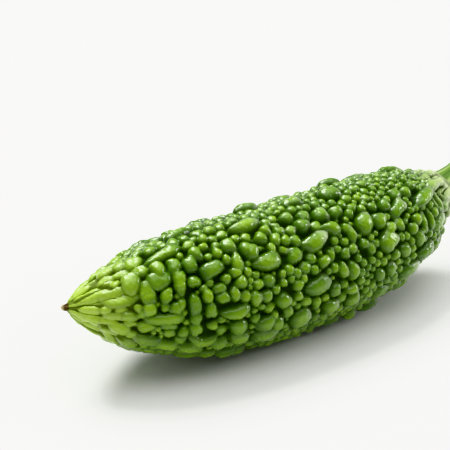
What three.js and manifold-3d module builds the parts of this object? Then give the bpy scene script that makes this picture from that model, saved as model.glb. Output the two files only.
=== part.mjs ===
// Bitter gourd: a warty, slightly bent fruit lying on its side, with its cut stem and the dried
// remnant of its flower. Millimetres, +Z up, +X runs along the fruit towards the stem.
import * as THREE from 'three';
import { mergeVertices } from 'three/addons/utils/BufferGeometryUtils.js';
import Module from 'manifold-3d';

const wasm = await Module();
wasm.setup();

// Driving dimensions
const fruitLength = 208; // along the centre line, from the pointed tip to the neck
const bendAcross = 9; // how far both ends swing back from the middle
const bendUp = 9.5; // how far both ends rise above the middle
const middleStation = 109; // station of the lowest, foremost point of the bend
const axisHeight = 29.7; // of the centre line there, above the table
const neckStart = 150; // from here on the fruit lifts a little more towards its neck
const neckLift = 3.2; // by the time the neck is reached
const wartHeight = 2.9;
const stemLength = 27;
const stemBaseRadius = 9;
const stemEndRadius = 3.6;
const stemRise = 0.003; // upward curl of the stem, per millimetre of its length
const stemSwing = 0.004; // its curl towards +Y
const tipRadius = 1.6;
const blossomLength = 2.6;
const pieceGap = 0.3; // between pieces that touch
const stemRings = 14;
const stemRibCount = 7;
const stemRibDepth = 0.11; // share of the radius
const fruitRings = 26;
const ribCount = 10;
const ribDepth = 0.085; // share of the radius

// Skin radius under the warts, as [station from the tip, radius]
const fruitProfile = [
  [0, tipRadius], [9, 8.8], [16, 13.1], [24.5, 17.3], [43, 23.1], [70, 27.1], [98, 28.6],
  [127, 28.1], [152, 27.1], [175, 22.6], [190, 17.2], [200, 12], [fruitLength, stemBaseRadius],
];

// The largest warts: [station, angle from the top, length along, width around, tilt]
// Angles grow from the top towards -Y, so 90 is the front and 180 the underside.
const largeWarts = [
  [39, 13, 17, 6.5, 14], [80, 9, 17, 6.5, 4], [56, 43, 12, 7, 8], [82, 48, 15, 8, 0],
  [108, 43, 15, 8, 12], [137, 43, 11, 10, 0], [146, 46, 8, 9, 0], [160, 42, 14, 7.5, 16],
  [181, 42, 20, 7, 8], [33, 43, 9, 7, 0], [28, 54, 7, 11, 20], [41.5, 47, 6, 12, 0],
  [23, 38, 6.5, 9, 0], [41, 31, 7, 7, 0], [48, 33, 7, 7.5, 0], [95, 47, 9, 8, 0],
  [34, 86, 17, 6, 0], [64, 84, 14, 6.5, 8], [104, 80, 14, 8.5, 14], [86, 84, 8, 8, 0],
  [123, 78, 6.5, 9, 0], [146, 66, 12, 11, 0], [119, 20, 9, 9, 0], [106, 26, 8, 8, 0],
  [127, 23, 8, 7, 0], [110, 18, 8, 7, 0], [66, 100, 8, 8, 0], [78, 103, 9, 8, 0],
  [96, 108, 12, 10, 0], [124, 108, 9, 8, 0], [80, 118, 14, 11, 0], [58, 117, 8, 8, 0],
  [44, 122, 10, 7, 0], [29, 117, 10, 7, 0], [128, 46, 6, 10, 0], [58, 62, 7, 6, 0],
  [18, 58, 14, 6, 0], [22, 132, 8, 7, 0], [133, -2, 13, 9, 0], [113, -8, 12, 8, 0],
  [52, -14, 15, 7, 6], [70, -40, 17, 7, 4], [94, -30, 14, 7, -6], [120, -42, 18, 7.5, 6],
  [146, -32, 15, 7, -4], [166, -44, 16, 7, 0], [40, -48, 14, 6.5, 0], [186, -34, 15, 6, 6],
  [48, -82, 18, 7, -4], [76, -78, 13, 7.5, 0], [100, -80, 17, 7.5, 8], [126, -76, 14, 7, 0],
  [150, -82, 18, 8, -6], [176, -76, 17, 6.5, 0], [36, -116, 15, 6.5, 0], [60, -112, 17, 7.5, 5],
  [88, -118, 15, 8, 0], [114, -112, 18, 7.5, -5], [140, -118, 14, 8, 0], [164, -112, 16, 7, 4],
  [50, -148, 15, 8, 0], [152, -150, 15, 8, 0], [172, -146, 15, 7, 0], [158, 108, 14, 7, 0],
  [142, 118, 11, 8, 0], [170, 100, 14, 6.5, 0], [184, 124, 15, 6, 0], [184, 82, 14, 6, 0],
  [50, 150, 13, 8, 0], [66, 142, 11, 8, 0], [160, 140, 13, 7.5, 0], [186, 170, 15, 6.5, 0],
];

// Broad warts of the underside that the fruit lies on, as deep as the table needs them
const restingWarts = [
  [92, 170, 13, 10, 0], [110, 165, 12, 10, 0], [127, 170, 13, 10, 0],
  [82, 196, 13, 10, 0], [99, 203, 12, 10, 0], [115, 195, 12, 10, 0], [131, 201, 13, 10, 0],
];
const restingPress = 0.45;

// Round beads between the large warts
const beadCount = 70;
const beadSizes = [5.6, 7.4];

// Repeatable random numbers, so that the same beads grow every time
function makeRandom(seed) {
  let state = seed;
  return () => {
    state = (state + 0x6d2b79f5) | 0;
    let t = Math.imul(state ^ (state >>> 15), 1 | state);
    t = (t + Math.imul(t ^ (t >>> 7), 61 | t)) ^ t;
    return ((t ^ (t >>> 14)) >>> 0) / 4294967296;
  };
}

// A smooth curve through the profile's points, read as radius at a station
function makeProfile(points) {
  const curve = new THREE.SplineCurve(points.map(([s, r]) => new THREE.Vector2(s, r)));
  const table = curve.getPoints(600);
  return (station) => {
    const s = THREE.MathUtils.clamp(station, table[0].x, table[table.length - 1].x);
    let i = 1;
    while (i < table.length - 1 && table[i].x < s) i += 1;
    const t = (s - table[i - 1].x) / Math.max(table[i].x - table[i - 1].x, 1e-6);
    return THREE.MathUtils.lerp(table[i - 1].y, table[i].y, t);
  };
}

// The bent centre line of the fruit; past the neck it carries on as the stem's, curling upwards
function centreAt(station) {
  const u = (station - middleStation) / middleStation;
  const lift = Math.max(station - neckStart, 0) / (fruitLength - neckStart);
  const past = Math.max(station - fruitLength, 0);
  return new THREE.Vector3(
    station - middleStation,
    bendAcross * (u * u - 0.5) + stemSwing * past * past,
    axisHeight + bendUp * u * u + neckLift * lift * lift + stemRise * past * past,
  );
}

// Directions across the centre line at a station: one upwards, one towards -Y
function frameAt(station) {
  const along = centreAt(station + 0.05).sub(centreAt(station - 0.05)).normalize();
  const front = new THREE.Vector3().crossVectors(along, new THREE.Vector3(0, 0, 1)).normalize();
  const up = new THREE.Vector3().crossVectors(front, along);
  return { up, front };
}

// Turns a straight lathed body into one that follows the centre line, with an uneven skin
function bendLathe(profile, sides, heightAt) {
  const geometry = new THREE.LatheGeometry(profile, sides);
  geometry.deleteAttribute('normal');
  geometry.deleteAttribute('uv');
  const merged = mergeVertices(geometry, 1e-4);
  const position = merged.getAttribute('position');
  for (let i = 0; i < position.count; i += 1) {
    const station = position.getY(i);
    const out = Math.hypot(position.getX(i), position.getZ(i));
    const angle = Math.atan2(-position.getZ(i), position.getX(i));
    const { up, front } = frameAt(station);
    const radius = out + heightAt(station, angle, out);
    const point = centreAt(station)
      .addScaledVector(up, radius * Math.cos(angle))
      .addScaledVector(front, radius * Math.sin(angle));
    position.setXYZ(i, point.x, point.y, point.z);
  }
  return merged;
}

const radiusAt = makeProfile(fruitProfile);

// Distance around the skin between two angles, at a station
function aroundBetween(station, a, b) {
  return radiusAt(station) * Math.atan2(Math.sin(a - b), Math.cos(a - b));
}

function makeWart([station, degrees, length, width, tilt]) {
  const angle = THREE.MathUtils.degToRad(degrees);
  const fade = Math.min(1, 0.45 + station / 50, 0.4 + (fruitLength - station) / 28);
  const height = Math.min(wartHeight, 0.4 * Math.min(length, width)) * fade;
  return { station, angle, length, width, height, tilt: THREE.MathUtils.degToRad(tilt) };
}

// A wart tall enough to reach the table, and to be pressed flat there
function makeRestingWart(sizes) {
  const wart = makeWart(sizes);
  const { up, front } = frameAt(wart.station);
  const down = -up.z * Math.cos(wart.angle) - front.z * Math.sin(wart.angle);
  const reach = (centreAt(wart.station).z + restingPress) / down;
  return { ...wart, height: reach - radiusAt(wart.station) };
}

// Adds round beads between the large warts, none crowding another
function growBeads(warts, random) {
  let left = beadCount;
  for (let i = 0; i < 20000 && left > 0; i += 1) {
    const station = 22 + random() * 168;
    const angle = random() * Math.PI * 2;
    const size = THREE.MathUtils.lerp(beadSizes[0], beadSizes[1], random());
    const free = warts.every((w) => {
      const along = (station - w.station) / (0.5 * (w.length + size) + 0.8);
      const around = aroundBetween(w.station, angle, w.angle) / (0.5 * (w.width + size) + 0.8);
      return along * along + around * around > 1;
    });
    if (free) {
      warts.push(makeWart([station, THREE.MathUtils.radToDeg(angle), size, size, 0]));
      left -= 1;
    }
  }
}

function growWarts() {
  const warts = restingWarts.map((w) => makeRestingWart(w));
  warts.push(...largeWarts.map((w) => makeWart(w)));
  growBeads(warts, makeRandom(7));
  return warts;
}

// Lengthwise ribs run out of both ends of the fruit and die away along the body
function ribAt(station, angle, out) {
  const tip = 1 - THREE.MathUtils.smoothstep(station, 8, 46);
  const neck = THREE.MathUtils.smoothstep(station, 178, 196);
  const ends = Math.min(station / 5, (fruitLength - station) / 5, 1);
  return ribDepth * out * (tip + neck) * ends * Math.cos(ribCount * angle);
}

function makeBodyGeometry() {
  const profile = [new THREE.Vector2(0, 0)];
  for (let i = 0; i <= fruitRings; i += 1) {
    const station = (fruitLength * i) / fruitRings;
    profile.push(new THREE.Vector2(radiusAt(station), station));
  }
  profile.push(new THREE.Vector2(0, fruitLength));
  return bendLathe(profile, 3 * ribCount, ribAt);
}

function skinPoint(station, angle) {
  const { up, front } = frameAt(station);
  return centreAt(station)
    .addScaledVector(up, radiusAt(station) * Math.cos(angle))
    .addScaledVector(front, radiusAt(station) * Math.sin(angle));
}

// A rounded sausage or bead, half sunk in the skin and turned to lie along it
function makeWartGeometry(wart) {
  const { station, angle, length, width, height, tilt } = wart;
  const thick = Math.min(length, width);
  const long = Math.abs(length - width);
  const geometry = long < 1.2
    ? new THREE.SphereGeometry(thick / 2, 7, 4).rotateX(Math.PI / 2)
    : new THREE.CapsuleGeometry(thick / 2, long, 2, 7);
  geometry.deleteAttribute('normal');
  geometry.deleteAttribute('uv');
  if (length > width) geometry.rotateZ(Math.PI / 2);
  const along = skinPoint(station + 0.5, angle).sub(skinPoint(station - 0.5, angle)).normalize();
  const around = skinPoint(station, angle + 0.01).sub(skinPoint(station, angle - 0.01)).normalize();
  const out = new THREE.Vector3().crossVectors(around, along);
  const x = along.multiplyScalar(Math.cos(tilt)).addScaledVector(around, -Math.sin(tilt));
  const y = new THREE.Vector3().crossVectors(out, x);
  const centre = skinPoint(station, angle).addScaledVector(out, height - thick / 2);
  geometry.applyMatrix4(new THREE.Matrix4().makeBasis(x, y, out).setPosition(centre));
  return geometry;
}

// The body and its warts grow together into one solid
function makeFruitGeometry() {
  return growWarts()
    .map((wart) => toSolid(makeWartGeometry(wart)))
    .reduce((whole, wart) => whole.add(wart), toSolid(makeBodyGeometry()));
}

function toSolid(geometry) {
  const merged = mergeVertices(geometry, 1e-4);
  return new wasm.Manifold(new wasm.Mesh({
    numProp: 3,
    vertProperties: new Float32Array(merged.getAttribute('position').array),
    triVerts: new Uint32Array(merged.index.array),
  }));
}

function toGeometry(solid) {
  const mesh = solid.getMesh();
  const geometry = new THREE.BufferGeometry();
  geometry.setAttribute('position', new THREE.BufferAttribute(mesh.vertProperties, 3));
  geometry.setIndex(new THREE.BufferAttribute(mesh.triVerts, 1));
  geometry.computeVertexNormals();
  return geometry;
}

// The warts the fruit lies on are pressed flat where they meet the table
function pressOnTable(solid) {
  const below = new THREE.BoxGeometry(2 * fruitLength, 200, 40);
  below.deleteAttribute('normal');
  below.deleteAttribute('uv');
  below.translate(0, 0, -20);
  return toGeometry(solid.subtract(toSolid(below)));
}

// Tapered stalk whose blunt ribs grow out of the neck and fade towards the cut
function makeStemGeometry() {
  const start = fruitLength + pieceGap;
  const profile = [new THREE.Vector2(0, start)];
  for (let i = 0; i <= stemRings; i += 1) {
    const t = i / stemRings;
    const radius = THREE.MathUtils.lerp(stemEndRadius, stemBaseRadius, (1 - t) ** 1.7);
    profile.push(new THREE.Vector2(radius, start + stemLength * t));
  }
  profile.push(new THREE.Vector2(0, start + stemLength));
  return bendLathe(profile, 4 * stemRibCount, (station, angle, out) => {
    const t = (station - start) / stemLength;
    const groove = 0.5 * (1 + Math.cos(stemRibCount * angle)) * Math.min(8 * t, 1);
    return -stemRibDepth * out * groove * (1 - 0.4 * t);
  });
}

// Shrivelled stub of the flower, uneven all round
function makeBlossomGeometry() {
  const end = -pieceGap;
  const shape = [[0, 1.5], [0.3, 1.3], [0.6, 1.3], [0.85, 1.05], [1, 0.6]];
  const profile = [new THREE.Vector2(0, end - blossomLength)];
  shape.slice().reverse().forEach(([t, radius]) => {
    profile.push(new THREE.Vector2(radius, end - blossomLength * t));
  });
  profile.push(new THREE.Vector2(0, end));
  return bendLathe(profile, 12, (station, angle, out) => 0.1 * out * Math.sin(3 * angle + station));
}

function makePiece(name, geometry, color, roughness) {
  geometry.computeVertexNormals();
  const material = new THREE.MeshStandardMaterial({ color, roughness, metalness: 0 });
  const mesh = new THREE.Mesh(geometry, material);
  mesh.name = name;
  return mesh;
}

const gourd = new THREE.Group();
gourd.add(makePiece('fruit', pressOnTable(makeFruitGeometry()), 0x5c9a1e, 0.34));
gourd.add(makePiece('stem', makeStemGeometry(), 0x8fb045, 0.5));
gourd.add(makePiece('blossom_tip', makeBlossomGeometry(), 0x6a5528, 0.85));

// The origin lies on the table under the middle of the whole length
const bounds = new THREE.Box3().setFromObject(gourd);
const middle = bounds.getCenter(new THREE.Vector3());
gourd.position.set(-middle.x, -middle.y, -bounds.min.z);

export default gourd;
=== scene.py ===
# A bitter gourd, fresh and raw, lying on a pale studio sweep.
# The fruit's fine skin, its stem and its dried flower remnant stand for the three solids of the frame.
import math
import bpy
import numpy as np
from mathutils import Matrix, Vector


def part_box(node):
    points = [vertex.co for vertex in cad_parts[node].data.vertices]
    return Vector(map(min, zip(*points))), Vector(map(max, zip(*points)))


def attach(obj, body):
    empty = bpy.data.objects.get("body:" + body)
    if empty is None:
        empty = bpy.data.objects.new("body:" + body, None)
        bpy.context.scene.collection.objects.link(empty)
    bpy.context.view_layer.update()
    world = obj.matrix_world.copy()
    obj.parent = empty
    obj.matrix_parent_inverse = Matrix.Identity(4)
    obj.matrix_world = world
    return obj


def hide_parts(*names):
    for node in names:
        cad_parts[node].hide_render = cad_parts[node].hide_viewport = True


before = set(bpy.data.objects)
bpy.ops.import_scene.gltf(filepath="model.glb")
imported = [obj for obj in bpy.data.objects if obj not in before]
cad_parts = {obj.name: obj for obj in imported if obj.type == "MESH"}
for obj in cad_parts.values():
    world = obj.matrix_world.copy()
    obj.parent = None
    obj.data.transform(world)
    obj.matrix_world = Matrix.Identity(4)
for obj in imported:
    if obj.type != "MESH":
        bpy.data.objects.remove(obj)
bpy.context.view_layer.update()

mm = 0.001
rng = np.random.default_rng(11)


def linear(hexColour, alpha=1.0):
    values = [int(hexColour[i:i + 2], 16) / 255 for i in (1, 3, 5)]
    return [v / 12.92 if v <= 0.04045 else ((v + 0.055) / 1.055) ** 2.4 for v in values] + [alpha]


def smooth(low, high, value):
    t = np.clip((value - low) / (high - low), 0, 1)
    return t * t * (3 - 2 * t)


def addNode(tree, kind, settings=None, links=None):
    made = tree.nodes.new("ShaderNode" + kind)
    for name, value in (settings or {}).items():
        if name == "stops":
            fillRamp(made.color_ramp, value)
        elif isinstance(name, str) and hasattr(made, name):
            setattr(made, name, value)
        else:
            made.inputs[name].default_value = value
    for name, output in (links or {}).items():
        tree.links.new(output, made.inputs[name])
    return made


def fillRamp(ramp, stops):
    while len(ramp.elements) < len(stops):
        ramp.elements.new(0.5)
    for element, (place, colour) in zip(ramp.elements, stops):
        element.position = place
        element.color = linear(colour) if isinstance(colour, str) else (colour, colour, colour, 1)


def newMaterial(name):
    material = bpy.data.materials.new(name)
    material.use_nodes = True
    tree = material.node_tree
    return material, tree, tree.nodes["Principled BSDF"]


# measures in mm, shared by all the pieces
gourd = {
    "fruitLength": 208,     # from the pointed tip to the neck
    "bendAcross": 9,        # how far both ends swing back
    "bendUp": 9.5,          # how far both ends rise off the table
    "middleStation": 109,   # lowest, foremost point of the bend
    "axisHeight": 29.7,
    "neckStart": 150,       # from here on the fruit lifts a little more, by neckLift at the neck
    "neckLift": 3.2,
    "stemLength": 27,
    "stemRise": 0.003,      # the stem's curl upwards, per mm of its length
    "stemSwing": 0.004,     # and backwards
    "blossomLength": 2.6,
    "solidGap": 0.3,        # between the fruit and the pieces at its two ends
    # radius of the skin under its warts, at stations along the fruit
    "profile": [(0, 1.6), (9, 8.8), (16, 13.1), (24.5, 17.3), (43, 23.1), (70, 27.1), (98, 28.6),
                (127, 28.1), (152, 27.1), (175, 22.6), (190, 17.2), (200, 12), (208, 9)],
}


def boxCentre(node):
    low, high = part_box(node)
    return (np.array(low) + np.array(high)) / 2 / mm


def rawCentre(station):
    g = gourd
    station = np.asarray(station, float)
    u = (station - g["middleStation"]) / g["middleStation"]
    past = np.maximum(station - g["fruitLength"], 0)
    lift = np.maximum(station - g["neckStart"], 0) / (g["fruitLength"] - g["neckStart"])
    return np.stack([
        station - g["middleStation"],
        g["bendAcross"] * (u * u - 0.5) + g["stemSwing"] * past ** 2,
        g["axisHeight"] + g["bendUp"] * u * u + g["neckLift"] * lift ** 2 + g["stemRise"] * past ** 2], -1)


# the frame's origin is under the middle of the whole length, so the line is moved to suit
blossomPlace = rawCentre(-gourd["solidGap"] - gourd["blossomLength"] / 2)
frameShift = (boxCentre("blossom_tip") - blossomPlace) * np.array([1, 1, 0])


def centreAt(station):
    return rawCentre(station) + frameShift


def acrossAt(station):
    along = centreAt(np.asarray(station) + 0.05) - centreAt(np.asarray(station) - 0.05)
    along /= np.linalg.norm(along, axis=-1, keepdims=True)
    front = np.cross(along, [0, 0, 1])
    front /= np.linalg.norm(front, axis=-1, keepdims=True)
    return np.cross(front, along), front


def makeCurve(points):
    # natural cubic through the points, tabulated once
    x, y = np.array(points, float).T
    n = len(x)
    h = np.diff(x)
    matrix = np.eye(n)
    right = np.zeros(n)
    for i in range(1, n - 1):
        matrix[i, i - 1:i + 2] = h[i - 1], 2 * (h[i - 1] + h[i]), h[i]
        right[i] = 6 * ((y[i + 1] - y[i]) / h[i] - (y[i] - y[i - 1]) / h[i - 1])
    m = np.linalg.solve(matrix, right)
    def read(value):
        value = np.clip(value, x[0], x[-1])
        i = np.clip(np.searchsorted(x, value) - 1, 0, n - 2)
        a, b = x[i + 1] - value, value - x[i]
        cubic = (m[i] * a ** 3 + m[i + 1] * b ** 3) / (6 * h[i])
        return cubic + (y[i] / h[i] - m[i] * h[i] / 6) * a + (y[i + 1] / h[i] - m[i + 1] * h[i] / 6) * b
    return read


radiusAt = makeCurve(gourd["profile"])


def waves(points, size, seed, count=24):
    # soft, repeatable unevenness of about the given size in mm, roughly from -1 to 1
    seeded = np.random.default_rng(seed)
    total = np.zeros(points.shape[:-1])
    for _ in range(count):
        direction = seeded.normal(size=3)
        direction *= 2 * math.pi / size / np.linalg.norm(direction) * seeded.uniform(0.6, 1.5)
        total += np.sin(points @ direction + seeded.uniform(0, 6.3))
    return total * math.sqrt(2 / count) * 0.6


skin = {
    "rings": 540,
    "sides": 460,
    "grooveDepth": 0.6,     # how far the grooves sink under the profile
    "beadHeight": 3.3,      # of the scattered warts, at most
    "ribCount": 10,
    "ribDepth": 0.35,       # along the body; deeper at both ends
    "uneven": 0.35,         # of the whole body
    "unevenSize": 34,
    "wrinkles": [(0.14, 3.4, 8), (0.08, 1.7, 12)],      # depth, size and seed
    "beads": 2000,          # tried; the crowded ones are taken away
    "beadSizes": [0.66, 0.82, 0.96, 1.08, 1.2],         # against the usual width
    "beadShares": [0.12, 0.22, 0.3, 0.24, 0.12],        # how common each of them is
    "settleRounds": [60, 60, 40],
    "beadSpacing": 1.12,    # beads push each other away until they are this far apart, 1 touching
    "clearOfPlaced": 0.8,   # beads closer than this to a placed wart are taken away, and
    "clearOfBeads": 0.75,   # so are those closer than this to each other
    "placedHeight": 4.9,    # at most
    "grainHalves": [1.6, 1.25, 0.95, 0.75],     # least radius of the grains between them, in turn
    "grainTries": 4500,
    "grainMost": 2.3,
    "press": 1.1,           # how far beads grow into each other
    "tipPress": 0.08,       # and how much further all warts do towards the tip
    "swell": 0.42,          # how far the warts bulge over the grooves
}

# warts of the front and top: station, angle from the top (front is 90), length along, width round,
# and tilt, with the stem's end of the wart towards the top
frontWarts = [
    # pointed end
    (18, 57, 15, 5.6, 3), (15, 45, 10, 4.4, 6), (23, 38, 6.6, 8.6, 0), (28.5, 54, 6.5, 10, 24),
    (33.5, 42, 10, 7.4, 2), (24, 71, 3.2, 3.2, 0), (25.5, 79, 3.6, 3.6, 0), (28.5, 73, 5, 5, 0),
    (34.5, 72, 4, 3.2, 0), (38.5, 74, 5.6, 4.8, 0), (21, 83, 6.8, 4.2, 0), (15.5, 85, 7.5, 4, 0),
    (14, 97, 7, 3.6, 0), (21.5, 94, 5, 4.4, 0), (27.5, 97, 7, 4.8, 0), (36.5, 95, 7.5, 4.2, 0),
    (18, 105, 8, 4.4, 0), (37, 103, 5.4, 4, 0), (42.5, 101, 4.4, 5, 0), (47, 98, 6, 6, 0),
    (54, 96, 5.6, 4.6, 0), (58, 91, 4.6, 4, 0), (34, 86, 17, 5.4, 0), (23, 130, 9, 7, 0),
    (29, 117, 10, 7, 0), (37, 121, 11, 7, 0), (47, 123, 11, 7.4, 0), (51, 112, 12, 6, 0),
    (58.5, 117, 8.4, 8, 0), (65.5, 101, 9, 8.4, 0), (67, 113, 10, 7, 0),
    # fore part
    (41.5, 47, 5.8, 11.5, 0), (47.5, 50, 5.8, 6, 0), (35.5, 60, 5, 7, -20), (41, 71, 3.6, 5.4, 0),
    (46.5, 74, 5.2, 10, 0), (47, 87, 5.6, 7, 0), (52, 66, 5, 6.2, 0), (51, 59, 4, 4, 0),
    (53, 80, 5.6, 7, 0), (57.5, 62, 7.2, 4.6, 0), (58.5, 70, 6.6, 5, 0), (64, 69, 4.8, 6.8, 0),
    (67.5, 60, 6, 6.4, 0), (64, 84, 14, 6.2, 8), (56, 43, 12.5, 6.8, 10), (41, 31, 6.8, 7, 0),
    (48, 33, 6.8, 7.6, 0), (52, 25, 6.8, 6.8, 0), (34.5, 30, 6.4, 6.4, 0), (39, 13, 18, 6.2, 14),
    (68, 43, 6, 9.6, 10), (66, 50, 6, 5, 0), (74, 33, 6.6, 6.4, 0), (61, 30, 5, 5, 0),
    (67, 26, 7.4, 8.4, 0), (62, 23, 5, 5, 0), (57, 19, 5.4, 5, 0),
    # middle
    (80, 9, 18, 6.4, 4), (87.5, 21, 6.6, 6.4, 0), (83, 27, 7, 6.4, 0), (76, 37, 7, 7, 0),
    (94, 25, 6, 5, 0), (99.5, 27, 6.2, 5.6, 0), (89.5, 31, 6, 6, 0), (106, 26, 8, 7.6, 0),
    (110, 17, 8, 8, 0), (119, 20, 9.4, 9, 0), (127, 23, 8.4, 7, 0), (102, 12, 8, 7, 0),
    (90.5, 12, 6, 6, 0), (94, 18, 5.6, 5.6, 0), (82, 48, 16, 7.6, 0), (95.5, 49, 8.4, 8.4, -18),
    (91.5, 42, 6, 3.6, -30), (108, 43, 16, 7.8, 14), (119.5, 37, 9.4, 6.4, -22),
    (137, 43, 11, 9.6, 20), (145.5, 45, 8, 8.4, 0), (160, 42, 15, 7, 18), (181, 43, 20, 6.4, 10),
    (104, 80, 15, 8.4, 16), (123, 78, 6.4, 9, 0), (118, 75, 5, 8, 0), (109, 62, 7.4, 5.6, 0),
    (114, 58, 4.6, 7, 0), (121, 62, 5.6, 5.4, 0), (126, 60, 5.6, 5.4, 0), (133, 60, 5.6, 5.4, 0),
    (135.5, 66, 4.6, 6, 0), (146.5, 66, 12, 10, 12), (128, 46, 5, 10, 10), (127, 40, 5, 4.6, 0),
    (86, 84, 8, 8, 0), (78, 76, 5.4, 5.4, 0), (73, 76, 6, 7, 0), (78, 103, 9.4, 8, 0),
    (84, 106, 7, 7, 0), (80, 118, 14, 10, 0), (96, 108, 12, 10, 0), (73, 96, 5, 5, 0),
    (82, 97, 4.6, 5, 0), (124, 107, 9.4, 7.4, 0), (122, 95, 7, 6.4, 0), (103, 96, 5, 7, 0),
    (113, 90, 6, 8, 0), (111, 105, 9, 7.4, 0),
    # towards the stem
    (149.5, 56, 7.6, 7, 0), (156, 56, 6.8, 7.6, 0), (153, 34, 7, 6.6, 0), (164, 27, 8, 7.4, 0),
    (171, 30, 7, 6, 0), (178, 24, 6, 6, 0), (168, 61, 6, 6.4, 0), (163, 67, 5.2, 6, 0),
    (172.5, 67, 3.8, 11, -14), (178, 72, 3.8, 12, -10), (155, 82, 7, 8, 0), (166, 80, 6, 9, 0),
    (145, 92, 6, 8, 0), (138.5, 93, 6, 8, 0), (190, 62, 3.6, 15, 0), (186, 57, 3, 8, 0),
    (193, 36, 12, 4.6, 0), (133, -1, 13, 8.6, 0), (113, -7, 12, 7.4, 0),
    # low on the side, standing out of its outline
    (57, 145, 10, 8, 0), (71, 145, 12, 8.4, 0), (120, 146, 12, 11, 0), (129, 139, 7, 7, 0),
    (142, 145, 14, 9, 0), (165, 148, 13, 10.4, 0),
]

# sausage-shaped warts in rows down the back, the underside and the far end
backWarts = [
    (52, -14, 15, 7, 6), (70, -40, 17, 7, 4), (94, -30, 14, 7, -6), (120, -42, 18, 7.5, 6),
    (146, -32, 15, 7, -4), (166, -44, 16, 7, 0), (40, -48, 14, 6.5, 0), (186, -34, 15, 6, 6),
    (48, -82, 18, 7, -4), (76, -78, 13, 7.5, 0), (100, -80, 17, 7.5, 8), (126, -76, 14, 7, 0),
    (150, -82, 18, 8, -6), (176, -76, 17, 6.5, 0), (36, -116, 15, 6.5, 0), (60, -112, 17, 7.5, 5),
    (88, -118, 15, 8, 0), (114, -112, 18, 7.5, -5), (140, -118, 14, 8, 0), (164, -112, 16, 7, 4),
    (50, -148, 15, 8, 0), (152, -150, 15, 8, 0), (172, -146, 15, 7, 0), (158, 108, 14, 7, 0),
    (142, 118, 11, 8, 0), (170, 100, 14, 6.5, 0), (184, 124, 15, 6, 0), (184, 82, 14, 6, 0),
    (50, 150, 13, 8, 0), (66, 142, 11, 8, 0), (160, 140, 13, 7.5, 0), (186, 170, 15, 6.5, 0),
    (92, 170, 13, 10, 0), (110, 165, 12, 10, 0), (127, 170, 13, 10, 0), (82, 196, 13, 10, 0),
    (99, 203, 12, 10, 0), (115, 195, 12, 10, 0), (131, 201, 13, 10, 0),
]

# ridges that run out of the pointed tip and into the neck, narrowing with the fruit
endRidges = [(5 + 2 * (k % 3), 18 * k + 4 * (k % 3), 8 + 2 * (k % 4), 1.6 + 0.5 * (k % 3), 5 * (k % 3) - 5)
             for k in range(20)]
endRidges += [(203 - 3 * (k % 2), 30 * k + 5 * (k % 3), 11 + 2 * (k % 3), 3.6, 4 - 4 * (k % 3))
              for k in range(12)]

# width and length of the small warts along the fruit: long and narrow at the tip, round on the body
beadWidth = makeCurve([(0, 1.4), (8, 2.1), (16, 2.9), (26, 3.8), (40, 4.5), (60, 4.8), (100, 4.8),
                       (130, 4.3), (165, 4.0), (184, 3.8), (198, 3.3), (208, 2.4)])
beadStretch = makeCurve([(0, 4), (8, 3.2), (16, 2.0), (26, 1.45), (40, 1.2), (56, 1.05), (180, 1.05),
                         (198, 1.4), (208, 2.2)])


def apart(s, a, halfLong, halfWide):
    # how far apart warts lie, as a share of their sizes: 1 where they just touch
    ds = s[:, None] - s[None, :]
    da = np.mod(a[:, None] - a[None, :] + math.pi, 2 * math.pi) - math.pi
    radius = radiusAt(s)
    dy = da * (radius[:, None] + radius[None, :]) / 2
    gap = np.hypot(ds / (halfLong[:, None] + halfLong[None, :]),
                   dy / (halfWide[:, None] + halfWide[None, :]))
    np.fill_diagonal(gap, 9)    # a wart is far from itself
    return gap


def scatterBeads(count):
    # random places, as many on each patch of skin as its beads' size allows
    stations = np.linspace(8, gourd["fruitLength"] - 5, 400)
    room = radiusAt(stations) / (beadWidth(stations) ** 2 * beadStretch(stations))
    chance = np.cumsum(room) / room.sum()
    s = np.interp(rng.uniform(size=count), chance, stations)
    a = rng.uniform(-math.pi, math.pi, count)
    size = rng.choice(skin["beadSizes"], count, p=skin["beadShares"])
    wide = beadWidth(s) * size * rng.uniform(0.94, 1.06, count) / 2
    long = wide * beadStretch(s) * rng.uniform(0.9, 1.16, count)
    return s, a, long, wide


def settle(s, a, halfLong, halfWide, fixedCount, rounds):
    # beads that crowd each other push each other aside; the placed warts stay
    reach = skin["beadSpacing"]
    for turn in range(rounds):
        if turn % 10 == 0:
            i, j = np.nonzero(apart(s, a, halfLong, halfWide) < 2)
        ds = s[i] - s[j]
        da = np.mod(a[i] - a[j] + math.pi, 2 * math.pi) - math.pi
        radius = radiusAt(s)
        dy = da * (radius[i] + radius[j]) / 2
        gap = np.hypot(ds / (halfLong[i] + halfLong[j]), dy / (halfWide[i] + halfWide[j]))
        push = np.clip(reach - gap, 0, None) * 0.3 / np.maximum(gap, 0.1)
        moveS = np.bincount(i, ds * push, len(s))
        moveY = np.bincount(i, dy * push, len(s))
        moveS[:fixedCount] = 0
        moveY[:fixedCount] = 0
        s = np.clip(s + np.clip(moveS, -1, 1), 5, gourd["fruitLength"] - 4)
        a = a + np.clip(moveY, -1, 1) / radius
    return s, a


def thinOut(s, a, halfLong, halfWide, fixedCount):
    # beads still buried in a placed wart go, and then the more crowded one of each close pair
    keep = np.ones(len(s), bool)
    gap = apart(s, a, halfLong, halfWide)
    keep[fixedCount:] = gap[fixedCount:, :fixedCount].min(1) > skin["clearOfPlaced"]
    crowding = np.clip(1 - gap, 0, None).sum(1)
    for k in np.argsort(-crowding):
        if k >= fixedCount and keep[k] and gap[k, keep].min() < skin["clearOfBeads"]:
            keep[k] = False
    return keep


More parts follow.
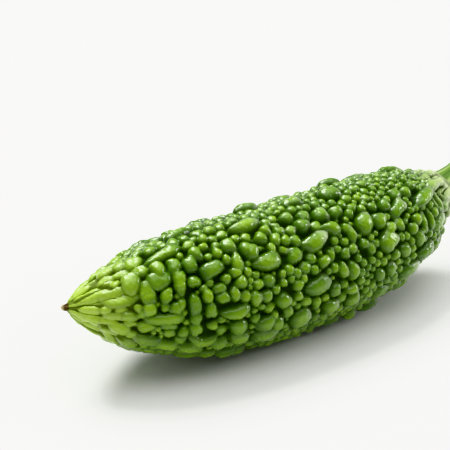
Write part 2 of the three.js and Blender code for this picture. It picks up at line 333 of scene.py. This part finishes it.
def growWarts():
    known = np.array(frontWarts + backWarts + endRidges, float)
    fixedCount = len(known)
    s, a, halfLong, halfWide = scatterBeads(skin["beads"])
    s = np.append(known[:, 0], s)
    a = np.append(np.radians(known[:, 1]), a)
    halfLong = np.append(known[:, 2] / 2, halfLong)
    halfWide = np.append(known[:, 3] / 2, halfWide)
    for rounds in skin["settleRounds"]:
        s, a = settle(s, a, halfLong, halfWide, fixedCount, rounds)
        keep = thinOut(s, a, halfLong, halfWide, fixedCount)
        s, a, halfLong, halfWide = s[keep], a[keep], halfLong[keep], halfWide[keep]
        print("beads settled:", len(s) - fixedCount)
    # each bead then fills the room that it has
    gap = apart(s, a, halfLong, halfWide)
    fit = np.clip(np.sort(gap, 1)[:, 1] * 1.04, 0.85, 1.25)
    fit[:fixedCount] = 1
    halfLong, halfWide = halfLong * fit, halfWide * fit
    # and smaller ones grow in the hollows that are left, the widest hollows first
    for smallest in skin["grainHalves"]:
        for _ in range(skin["grainTries"]):
            station, angle = rng.uniform(14, 204), rng.uniform(-math.pi, math.pi)
            ds = s - station
            dy = (np.mod(a - angle + math.pi, 2 * math.pi) - math.pi) * radiusAt(station)
            inside = np.hypot(ds / halfLong, dy / halfWide)
            room = (np.hypot(ds, dy) * (1 - 1 / np.maximum(inside, 0.01))).min()
            if room > smallest:
                half = min(room * 1.1, skin["grainMost"])
                s, a = np.append(s, station), np.append(a, angle)
                halfLong, halfWide = np.append(halfLong, half), np.append(halfWide, half)
    press = skin["press"] + skin["tipPress"] * (1 - smooth(24, 60, s))
    press[:fixedCount] -= skin["press"] - 1     # the placed warts keep their own size
    halfLong, halfWide = halfLong * press, halfWide * press
    tilt = np.radians(rng.normal(0, 12, len(s)))
    tilt[:fixedCount] = np.radians(known[:, 4])
    return s, a, halfLong, halfWide, tilt, fixedCount


def wartDome(x, y, halfLong, halfWide, flat, lumps):
    # one wart's height over the skin, from 0 to 1: a slightly lopsided, lumpy ellipse in plan
    slim = max(halfLong / halfWide, halfWide / halfLong)
    if slim > 1.5:
        y = y + rng.uniform(-0.2, 0.2) * halfWide * (1 - 2 * (x / halfLong) ** 2)
        y = y / (1 + rng.uniform(-0.14, 0.08) * np.cos(math.pi * x / halfLong + rng.uniform(-0.8, 0.8)))
        x = x + rng.uniform(-0.12, 0.12) * y
    power = 2.0 + min(slim - 1, 1) * 0.45
    rho = (np.abs(x / halfLong) ** power + np.abs(y / halfWide) ** power) ** (1 / power)
    around = np.arctan2(y / halfWide, x / halfLong)
    for lobes, depth in ((2, 0.06), (3, 0.08), (4, 0.05)):
        rho = rho * (1 + lumps * depth * rng.uniform(0.2, 1) * np.cos(lobes * around + rng.uniform(0, 6.3)))
    dome = np.clip(1 - rho ** flat, 0, None) ** 0.5
    lean = rng.uniform(-0.1, 0.1) * x / halfLong + rng.uniform(-0.1, 0.1) * y / halfWide
    return dome * (1 + lean)


def endFade(station):
    # warts are lower towards both ends
    return min(1, 0.3 + station / 48, 0.5 + (gourd["fruitLength"] - station) / 34)


def wartField(stations, angles):
    # the height of the skin's relief, and for each point its share of its wart's height, 0 in the
    # grooves, with that wart's tone and its pale bloom, partly wax and partly painted highlight
    s, a, halfLong, halfWide, tilt, fixedCount = growWarts()
    sides = len(angles)
    height, share, tone, pale = (np.zeros((len(stations), sides)) for _ in range(4))
    radius = radiusAt(stations)
    for k in range(len(s)):
        reach = 1.25 * max(halfLong[k], halfWide[k]) + 0.5
        first, last = np.searchsorted(stations, [s[k] - reach, s[k] + reach])
        if last - first < 2:
            continue
        ownRadius = float(radiusAt(s[k]))
        span = int(min(sides // 2 - 1, reach / ownRadius / (2 * math.pi) * sides + 2))
        middle = int(round((a[k] % (2 * math.pi)) / (2 * math.pi) * sides))
        columns = np.arange(middle - span, middle + span + 1) % sides
        x = (stations[first:last] - s[k])[:, None]
        turn = np.mod(angles[columns] - a[k] + math.pi, 2 * math.pi) - math.pi
        # a wart keeps its own angle round the fruit, so it narrows towards either end
        y = -turn[None, :] * (0.35 * radius[first:last, None] + 0.65 * ownRadius)
        c, d = math.cos(tilt[k]), math.sin(tilt[k])
        thick = min(halfLong[k], halfWide[k])
        tallest = skin["placedHeight"] if k < fixedCount else skin["beadHeight"]
        top = min(1.5 * thick, tallest) * endFade(s[k]) * rng.uniform(0.8, 1.06)
        flat = 2.3 + 1.2 * (1 - float(smooth(20, 66, s[k])))
        lumps = 1.1 + 0.4 * (k < fixedCount)
        along = x * c + y * d
        dome = wartDome(along, y * c - x * d, halfLong[k], halfWide[k], flat, lumps)
        # placed warts fade to a pale bloom at the end nearer the stem, partly wax and partly painted
        # highlight, some of them more than others
        bloomSheen = (k < fixedCount) * (0.25 + 0.25 * (k % 4)) * float(smooth(50, 100, s[k]))
        bloomSheen = bloomSheen * smooth(0, 0.95, along / halfLong[k])
        patch = np.ix_(np.arange(first, last), columns)
        wins = dome * top > height[patch]
        height[patch] = np.where(wins, dome * top, height[patch])
        share[patch] = np.where(wins, dome, share[patch])
        tone[patch] = np.where(wins, rng.uniform(-1, 1), tone[patch])
        pale[patch] = np.where(wins, bloomSheen, pale[patch])
    print("warts grown:", len(s))
    return height, share, tone, pale


def blur(field, times):
    for _ in range(times):
        field = (np.roll(field, 1, 1) + 2 * field + np.roll(field, -1, 1)) / 4
        padded = np.vstack([field[:1], field, field[-1:]])
        field = (padded[:-2] + 2 * field + padded[2:]) / 4
    return field


def ringPoints(stations, angles, radii):
    up, front = acrossAt(stations)
    around = np.cos(angles)[None, :, None] * up[:, None] + np.sin(angles)[None, :, None] * front[:, None]
    return centreAt(stations)[:, None] + radii[..., None] * around


def gridNormals(points):
    along = np.gradient(points, axis=0)
    around = np.roll(points, -1, 1) - np.roll(points, 1, 1)
    normals = np.cross(around, along)
    return normals / np.maximum(np.linalg.norm(normals, axis=-1, keepdims=True), 1e-9)


def unrolledMap(rings, sides):
    # round the piece one way and along it the other, with a small disc for each closed end
    v = np.linspace(0.03, 0.97, rings)
    i, j = np.meshgrid(np.arange(rings - 1), np.arange(sides), indexing="ij")
    u0, u1 = j / sides, (j + 1) / sides
    quadUv = np.stack([np.stack([u0, v[i]], -1), np.stack([u1, v[i]], -1),
                       np.stack([u1, v[i + 1]], -1), np.stack([u0, v[i + 1]], -1)], -2)
    turn = np.arange(sides) / sides * 2 * math.pi
    nextTurn = (np.arange(sides) + 1) / sides * 2 * math.pi

    def fan(x, first, second):
        hub = np.zeros((sides, 2)) + [x, 0.013]
        rim = [np.stack([x + 0.012 * np.cos(angle), 0.013 + 0.012 * np.sin(angle)], -1)
               for angle in (first, second)]
        return np.stack([hub, *rim], 1)

    return np.concatenate([quadUv.reshape(-1, 2), fan(0.05, nextTurn, turn).reshape(-1, 2),
                           fan(0.15, turn, nextTurn).reshape(-1, 2)])


def loftMesh(name, points, layers, material):
    # closes both ends with a fan; layers are values painted on the points
    rings, sides = points.shape[:2]
    startPoint, endPoint = points[0].mean(0), points[-1].mean(0)
    verts = np.vstack([points.reshape(-1, 3), startPoint, endPoint]) * mm
    i, j = np.meshgrid(np.arange(rings - 1), np.arange(sides), indexing="ij")
    k = (j + 1) % sides
    quads = np.stack([i * sides + j, i * sides + k, (i + 1) * sides + k, (i + 1) * sides + j], -1)
    j = np.arange(sides)
    k = (j + 1) % sides
    startFan = np.stack([np.full(sides, rings * sides), k, j], -1)
    last = (rings - 1) * sides
    endFan = np.stack([np.full(sides, rings * sides + 1), last + j, last + k], -1)
    loops = np.concatenate([quads.ravel(), startFan.ravel(), endFan.ravel()])
    sizes = np.concatenate([np.full(quads.size // 4, 4), np.full(2 * sides, 3)])
    mesh = bpy.data.meshes.new(name)
    mesh.vertices.add(len(verts))
    mesh.vertices.foreach_set("co", verts.ravel())
    mesh.loops.add(len(loops))
    mesh.loops.foreach_set("vertex_index", loops.astype(np.int32))
    mesh.polygons.add(len(sizes))
    starts = np.concatenate([[0], np.cumsum(sizes)[:-1]])
    mesh.polygons.foreach_set("loop_start", starts.astype(np.int32))
    mesh.polygons.foreach_set("use_smooth", np.ones(len(sizes), bool))
    mesh.update(calc_edges=True)
    for layer, values in layers.items():
        flat = values.reshape(-1)
        ends = [values[0].mean(), values[-1].mean()]
        data = np.concatenate([flat, ends]).astype(np.float32)
        mesh.attributes.new(layer, "FLOAT", "POINT").data.foreach_set("value", data)
    uv = unrolledMap(rings, sides)
    mesh.uv_layers.new(name="OFBake").data.foreach_set("uv", uv.ravel().astype(np.float32))
    mesh.materials.append(material)
    made = bpy.data.objects.new(name, mesh)
    bpy.context.collection.objects.link(made)
    return made


skinLook = {
    # from groove to crown these greens carry painted shade in the grooves and painted light on the wart tops
    "groove": "#092700",
    "flank": "#214902",
    "side": "#446f07",
    "crown": "#658f11",
    "tipPale": "#aecb4c",
    # paler skin at the neck, and a painted highlight on the wart tops there
    "neckPaleSheen": "#b3c08d",
    # the pale wax bloom of the large warts, with a painted highlight in it
    "waxSheenPale": "#b5c39c",
    "sheenTint": "#f8ffe0",
    "roughness": 0.27,
    "coat": 0.62,           # only on the warts, the grooves stay dull and dark
    "mottleSize": 9,        # mm
    "waxSheenSize": 4,
    "poreSize": 0.45,
    "dentSize": 1.6,
}


def makeGourdSkin():
    # living plant skin with a thin wax bloom: wet-looking highlights on every wart, grooves painted dark as
    # shade and wart tops painted lighter, and a painted pale highlight on the bloom near the stem
    look = skinLook
    material, tree, surface = newMaterial("GourdSkinWaxed")
    place = addNode(tree, "TexCoord").outputs["Object"]
    share = addNode(tree, "Attribute", {"attribute_name": "wartShare"}).outputs["Fac"]
    tone = addNode(tree, "Attribute", {"attribute_name": "wartTone"}).outputs["Fac"]
    bloomSheen = addNode(tree, "Attribute", {"attribute_name": "wartBloom"}).outputs["Fac"]
    tipward = addNode(tree, "Attribute", {"attribute_name": "tipward"}).outputs["Fac"]
    neckward = addNode(tree, "Attribute", {"attribute_name": "neckward"}).outputs["Fac"]
    mottle = addNode(tree, "TexNoise", {"Scale": 1000 / look["mottleSize"], "Detail": 4}, {"Vector": place})
    lift = addNode(tree, "Math", {"operation": "MULTIPLY_ADD", 1: 0.3, 2: -0.15}, {0: mottle.outputs["Fac"]})
    shade = addNode(tree, "Math", {"operation": "ADD", "use_clamp": True},
                    {0: share, 1: lift.outputs[0]})
    # painted shade and light: darkest down in the grooves, lighter up to each wart's top; partly the skin's
    # own darker green between the warts
    green = addNode(tree, "ValToRGB", {"stops": [
        (0.0, look["groove"]), (0.4, look["flank"]), (0.8, look["side"]), (1.0, look["crown"])]},
        {"Fac": shade.outputs[0]})
    value = addNode(tree, "Math", {"operation": "MULTIPLY_ADD", 1: 0.2, 2: 1.0}, {0: tone})
    hue = addNode(tree, "Math", {"operation": "MULTIPLY_ADD", 1: -0.008, 2: 0.496}, {0: tone})
    varied = addNode(tree, "HueSaturation", {}, {
        "Hue": hue.outputs[0], "Value": value.outputs[0], "Color": green.outputs["Color"]})
    waxSheenNoise = addNode(tree, "TexNoise", {"Scale": 1000 / look["waxSheenSize"], "Detail": 5}, {"Vector": place})
    waxSheenPatch = addNode(tree, "MapRange", {"From Min": 0.3, "From Max": 0.65, "To Min": 0.2, "To Max": 0.95},
                       {"Value": waxSheenNoise.outputs["Fac"]})
    # pale wax bloom plus a painted highlight on the stem-side end of the large warts, in patches
    waxSheenMask = addNode(tree, "Math", {"operation": "MULTIPLY"}, {0: bloomSheen, 1: waxSheenPatch.outputs[0]})
    waxSheenMix = addNode(tree, "Mix", {"data_type": "RGBA", 7: linear(look["waxSheenPale"])},
                     {0: waxSheenMask.outputs[0], 6: varied.outputs["Color"]})
    tipMix = addNode(tree, "Mix", {"data_type": "RGBA", 7: linear(look["tipPale"])},
                     {0: tipward, 6: waxSheenMix.outputs[2]})
    # paler skin by the stem, and a painted highlight on the wart tops towards the neck
    neckMix = addNode(tree, "Mix", {"data_type": "RGBA", 7: linear(look["neckPaleSheen"])},
                      {0: neckward, 6: tipMix.outputs[2]})
    tree.links.new(neckMix.outputs[2], surface.inputs["Base Color"])
    gloss = addNode(tree, "MapRange", {"From Max": 0.6, "To Min": look["roughness"] + 0.45,
                                       "To Max": look["roughness"]}, {"Value": share})
    tree.links.new(gloss.outputs[0], surface.inputs["Roughness"])
    wet = addNode(tree, "MapRange", {"From Min": 0.25, "From Max": 0.7, "To Max": look["coat"]},
                  {"Value": share})
    tree.links.new(wet.outputs[0], surface.inputs["Coat Weight"])
    pores = addNode(tree, "TexNoise", {"Scale": 1000 / look["poreSize"], "Detail": 2}, {"Vector": place})
    dents = addNode(tree, "TexNoise", {"Scale": 1000 / look["dentSize"], "Detail": 3}, {"Vector": place})
    relief = addNode(tree, "Math", {"operation": "MULTIPLY_ADD", 1: 3.0},
                     {0: dents.outputs["Fac"], 2: pores.outputs["Fac"]})
    bump = addNode(tree, "Bump", {"Strength": 0.6, "Distance": 0.00016}, {"Height": relief.outputs[0]})
    tree.links.new(bump.outputs[0], surface.inputs["Normal"])
    surface.inputs["IOR"].default_value = 1.45
    surface.inputs["Specular IOR Level"].default_value = 0.42
    surface.inputs["Specular Tint"].default_value = linear(look["sheenTint"])
    surface.inputs["Coat Roughness"].default_value = 0.1
    return material


stemLook = {
    "flesh": "#5f8228",
    "groove": "#3a5c15",
    "crest": "#94a566",
    "cut": "#b9b97f",
    "roughness": 0.45,
    "fibreSize": 0.5,       # mm across
}


def makeStemSkin():
    # fibrous green stalk: pale lengthwise ribs, fine fibres, a dry cut face
    look = stemLook
    material, tree, surface = newMaterial("StalkFibrous")
    place = addNode(tree, "TexCoord").outputs["Object"]
    height = addNode(tree, "Attribute", {"attribute_name": "wartHeight"}).outputs["Fac"]
    cut = addNode(tree, "Attribute", {"attribute_name": "cutFace"}).outputs["Fac"]
    stretched = addNode(tree, "Mapping", {"Scale": (0.12, 1, 1)}, {"Vector": place})
    fibres = addNode(tree, "TexNoise", {"Scale": 1000 / look["fibreSize"], "Detail": 3},
                     {"Vector": stretched.outputs[0]})
    lift = addNode(tree, "Math", {"operation": "MULTIPLY_ADD", 1: 0.4, 2: -0.2}, {0: fibres.outputs["Fac"]})
    shade = addNode(tree, "Math", {"operation": "ADD", "use_clamp": True}, {0: height, 1: lift.outputs[0]})
    green = addNode(tree, "ValToRGB", {"stops": [
        (0.0, look["groove"]), (0.55, look["flesh"]), (1.0, look["crest"])]}, {"Fac": shade.outputs[0]})
    ended = addNode(tree, "Mix", {"data_type": "RGBA", 7: linear(look["cut"])},
                    {0: cut, 6: green.outputs["Color"]})
    tree.links.new(ended.outputs[2], surface.inputs["Base Color"])
    gloss = addNode(tree, "MapRange", {"To Min": look["roughness"], "To Max": look["roughness"] + 0.2},
                    {"Value": fibres.outputs["Fac"]})
    tree.links.new(gloss.outputs[0], surface.inputs["Roughness"])
    bump = addNode(tree, "Bump", {"Strength": 0.4, "Distance": 0.0002}, {"Height": fibres.outputs["Fac"]})
    tree.links.new(bump.outputs[0], surface.inputs["Normal"])
    surface.inputs["IOR"].default_value = 1.45
    return material


blossomLook = {
    "dark": "#2e2009",
    "mid": "#6b5322",
    "pale": "#c9bb8e",
    "roughness": 0.8,
}


def makeBlossomSkin():
    # flower remains dried on the plant: papery brown, darker in the folds, bleached at the end
    look = blossomLook
    material, tree, surface = newMaterial("BlossomDried")
    place = addNode(tree, "TexCoord").outputs["Object"]
    end = addNode(tree, "Attribute", {"attribute_name": "endward"}).outputs["Fac"]
    folds = addNode(tree, "TexNoise", {"Scale": 1000 / 0.9, "Detail": 4}, {"Vector": place})
    brown = addNode(tree, "ValToRGB", {"stops": [(0.3, look["dark"]), (0.75, look["mid"])]},
                    {"Fac": folds.outputs["Fac"]})
    ended = addNode(tree, "Mix", {"data_type": "RGBA", 7: linear(look["pale"])},
                    {0: end, 6: brown.outputs["Color"]})
    tree.links.new(ended.outputs[2], surface.inputs["Base Color"])
    gloss = addNode(tree, "MapRange", {"To Min": look["roughness"] - 0.15, "To Max": look["roughness"] + 0.1},
                    {"Value": folds.outputs["Fac"]})
    tree.links.new(gloss.outputs[0], surface.inputs["Roughness"])
    bump = addNode(tree, "Bump", {"Strength": 0.7, "Distance": 0.0003}, {"Height": folds.outputs["Fac"]})
    tree.links.new(bump.outputs[0], surface.inputs["Normal"])
    return material


def makeFruit():
    length = gourd["fruitLength"]
    stations = np.linspace(0, length, skin["rings"])
    angles = np.arange(skin["sides"]) / skin["sides"] * 2 * math.pi
    deep = skin["grooveDepth"] * smooth(4, 40, stations) * (1 - smooth(192, 206, stations))
    radius = (radiusAt(stations) - deep)[:, None] + 0 * angles[None, :]
    ends = 0.05 * (1 - smooth(8, 40, stations)) + 0.04 * smooth(186, 202, stations)
    closing = np.minimum(np.minimum(stations / 5, (length - stations) / 5), 1)
    ribs = (skin["ribDepth"] + radius * ends[:, None]) * closing[:, None]
    radius = radius + ribs * np.cos(skin["ribCount"] * angles)[None, :]
    base = ringPoints(stations, angles, radius)
    uneven = skin["uneven"] * waves(base, skin["unevenSize"], 3) * closing[:, None]
    base += gridNormals(base) * uneven[..., None]
    height, share, tone, pale = wartField(stations, angles)
    settleEnds = np.minimum(stations / 3, (length - stations) / 5).clip(0, 1)
    height = blur(height * settleEnds[:, None], 1)
    share = blur(share, 1)
    points = base + gridNormals(base) * height[..., None]
    wrinkles = sum(depth * waves(base, size, seed) for depth, size, seed in skin["wrinkles"])
    points += gridNormals(points) * (skin["swell"] * smooth(0.15, 0.8, share) + wrinkles)[..., None]
    points[..., 2] = np.maximum(points[..., 2], 0.02)   # the lowest warts rest flat on the table
    layers = {
        "wartShare": share,
        "wartTone": blur(tone, 1),
        "wartBloom": blur(pale, 1),
        "tipward": (1 - smooth(3, 34, stations))[:, None] * (0.26 + 0.52 * share),
        # pale at the neck right by the stem, and a painted highlight on the wart tops towards it
        "neckward": (smooth(180, 206, stations)[:, None] * (0.05 + 0.55 * share ** 2)
                     + 0.4 * smooth(199, 206, stations)[:, None]),
    }
    fruit = loftMesh("fruit_skin", points, layers, makeGourdSkin())
    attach(fruit, "root")
    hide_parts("fruit")
    print("fruit skin:", len(fruit.data.polygons), "faces")


stem = {
    "rings": 110,
    "sides": 140,
    "baseRadius": 9,
    "endRadius": 3.6,
    "ribs": 7,
    "ribDepth": 0.13,       # share of the radius
    "fineRibs": 21,
    "fineDepth": 0.012,
    "twist": 0.35,          # of the ribs, in radians from the neck to the cut
    "tuck": 0.4,            # how far it starts inside the neck
    # share of the radius and depth under the rim, from the rim of the cut face to its middle
    "cutFace": [(0.92, 0.02), (0.8, 0.16), (0.6, 0.3), (0.4, 0.3), (0.2, 0.2), (0.06, 0.15)],
}


def makeStem():
    start = gourd["fruitLength"] - stem["tuck"]
    end = gourd["fruitLength"] + gourd["solidGap"] + gourd["stemLength"]
    t = np.linspace(0, 1, stem["rings"])
    stations = start + (end - start) * t
    angles = np.arange(stem["sides"]) / stem["sides"] * 2 * math.pi
    radius = stem["endRadius"] + (stem["baseRadius"] - stem["endRadius"]) * (1 - t) ** 1.7
    radius = radius[:, None] * np.ones(len(angles))
    twist = stem["twist"] * t[:, None]
    crest = 0.5 + 0.5 * np.cos(stem["ribs"] * (angles[None, :] + twist))
    crest = crest ** 1.6 * (1 - 0.35 * t[:, None])
    fineTurn = stem["fineRibs"] * (angles[None, :] + twist) + 2 * np.sin(3 * angles[None, :])
    fine = 0.5 + 0.5 * np.cos(fineTurn)
    radius = radius * (1 - stem["ribDepth"] * (1 - crest) + stem["fineDepth"] * fine)
    radius = radius * np.sqrt(np.clip(1 - smooth(0.985, 1.0, t) * 0.12, 0, 1))[:, None]
    points = ringPoints(stations, angles, radius)
    points += gridNormals(points) * (0.1 * waves(points, 6, 5))[..., None]
    rim = points[-1]
    hub = rim.mean(0)
    along = centreAt(end) - centreAt(end - 0.1)
    along /= np.linalg.norm(along)
    discs = [hub + (rim - hub) * share - along * dip for share, dip in stem["cutFace"]]
    points = np.concatenate([points, np.array(discs)])
    level = np.concatenate([0.75 * crest + 0.2 * fine, np.full((len(discs), len(angles)), 0.6)])
    cut = np.concatenate([np.zeros_like(crest), np.full((len(discs), len(angles)), 0.9)])
    made = loftMesh("stem_stalk", points, {"wartHeight": level, "cutFace": cut}, makeStemSkin())
    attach(made, "root")
    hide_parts("stem")
    print("stem:", len(made.data.polygons), "faces")


blossom = {
    "rings": 46,
    "sides": 64,
    "tuck": 0.2,            # how far it starts inside the gap to the fruit
    # radius from the fruit outwards, at shares of its length
    "shape": [(0, 1.6), (0.2, 1.4), (0.45, 1.25), (0.7, 1.2), (0.9, 0.9), (1, 0.4)],
    "foldDepth": 0.16,      # share of the radius
    "fineFoldDepth": 0.07,
}


def makeBlossom():
    tuck = blossom["tuck"]
    t = np.linspace(0, 1, blossom["rings"])
    stations = tuck - gourd["solidGap"] - (gourd["blossomLength"] + tuck) * t
    stations = stations[::-1]
    t = t[::-1]
    sides = blossom["sides"]
    angles = np.arange(sides) / sides * 2 * math.pi
    radius = makeCurve(blossom["shape"])(t)[:, None]
    radius = radius * (1 + blossom["foldDepth"] * np.cos(5 * angles + 4.2 * t[:, None])
                       + blossom["fineFoldDepth"] * np.cos(11 * angles + 2)[None, :])
    points = ringPoints(stations, angles, radius)
    points += gridNormals(points) * (0.12 * waves(points, 1.6, 9))[..., None]
    endward = np.broadcast_to(smooth(0.55, 0.95, t)[:, None] * 0.75, radius.shape)
    made = loftMesh("blossom_remnant", points, {"endward": endward}, makeBlossomSkin())
    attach(made, "root")
    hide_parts("blossom_tip")
    print("blossom remnant:", len(made.data.polygons), "faces")


studio = {
    "floorColour": "#dcdcdb",
    "worldColour": "#fffefd",
    "worldStrength": 0.52,
    "overheadWatts": 27.0,  # a wide softbox above, for soft light all over the floor
    "overheadSize": 2.4,
    "overheadPlace": (-0.05, 0.15, 1.6),
    "backWatts": 22.0,      # a smaller one behind, for the highlights
    "backSize": 0.75,
    "backPlace": (0.0, 0.72, 1.25),
    "rightWatts": 5.5,      # and a low one on the right, for the pale rims
    "rightSize": 0.45,
    "rightPlace": (1.15, -0.4, 0.5),
    "aim": (0, 0, 0.03),
    "floorSize": 6,
}


def makeFloor():
    # uncoated paper from the mill: quite matt, so it shows soft shadows and no reflections
    material, _, surface = newMaterial("PaperSweepMatt")
    surface.inputs["Base Color"].default_value = linear(studio["floorColour"])
    surface.inputs["Roughness"].default_value = 0.9
    bpy.ops.mesh.primitive_plane_add(size=studio["floorSize"], location=(0, 0, 0))
    floor = bpy.context.object
    floor.name = "paper_floor"
    floor.data.materials.append(material)
    print("floor:", studio["floorSize"], "m")


def addArea(name, place, size, watts):
    light = bpy.data.lights.new(name, "AREA")
    light.shape = "DISK"
    light.size = size
    light.energy = watts
    made = bpy.data.objects.new(name, light)
    bpy.context.collection.objects.link(made)
    made.location = place
    direction = np.array(studio["aim"]) - np.array(place)
    made.rotation_euler = Vector(direction).to_track_quat("-Z", "Y").to_euler()


def makeLight():
    world = bpy.data.worlds.new("StudioAir")
    bpy.context.scene.world = world
    world.use_nodes = True
    air = world.node_tree.nodes["Background"]
    air.inputs["Color"].default_value = linear(studio["worldColour"])
    air.inputs["Strength"].default_value = studio["worldStrength"]
    for name in ("overhead", "back", "right"):
        addArea(name + "_softbox", studio[name + "Place"], studio[name + "Size"], studio[name + "Watts"])
    bpy.context.scene.view_settings.view_transform = "Khronos PBR Neutral"
    print("lights: three softboxes")


lens = {
    "azimuth": -34,         # degrees, from the front towards the pointed tip
    "elevation": 27,
    "distance": 0.6255,
    "field": 20,            # degrees, across the whole width
    "sensor": 36,
    "aim": [-0.0017, 0.045, 0.0305],    # on the centre line's own axes, before frameShift
}


def makeCamera():
    aim = np.array(lens["aim"]) + frameShift * mm
    a, e = math.radians(lens["azimuth"]), math.radians(lens["elevation"])
    back = np.array([math.sin(a) * math.cos(e), -math.cos(a) * math.cos(e), math.sin(e)])
    data = bpy.data.cameras.new("camera")
    data.sensor_width = lens["sensor"]
    data.lens = lens["sensor"] / 2 / math.tan(math.radians(lens["field"] / 2))
    camera = bpy.data.objects.new("camera", data)
    bpy.context.collection.objects.link(camera)
    camera.location = aim + back * lens["distance"]
    camera.rotation_euler = Vector(-back).to_track_quat("-Z", "Y").to_euler()
    bpy.context.scene.camera = camera
    print("camera:", lens["azimuth"], lens["elevation"])


makeCamera()
makeFruit()
makeStem()
makeBlossom()
makeFloor()
makeLight()
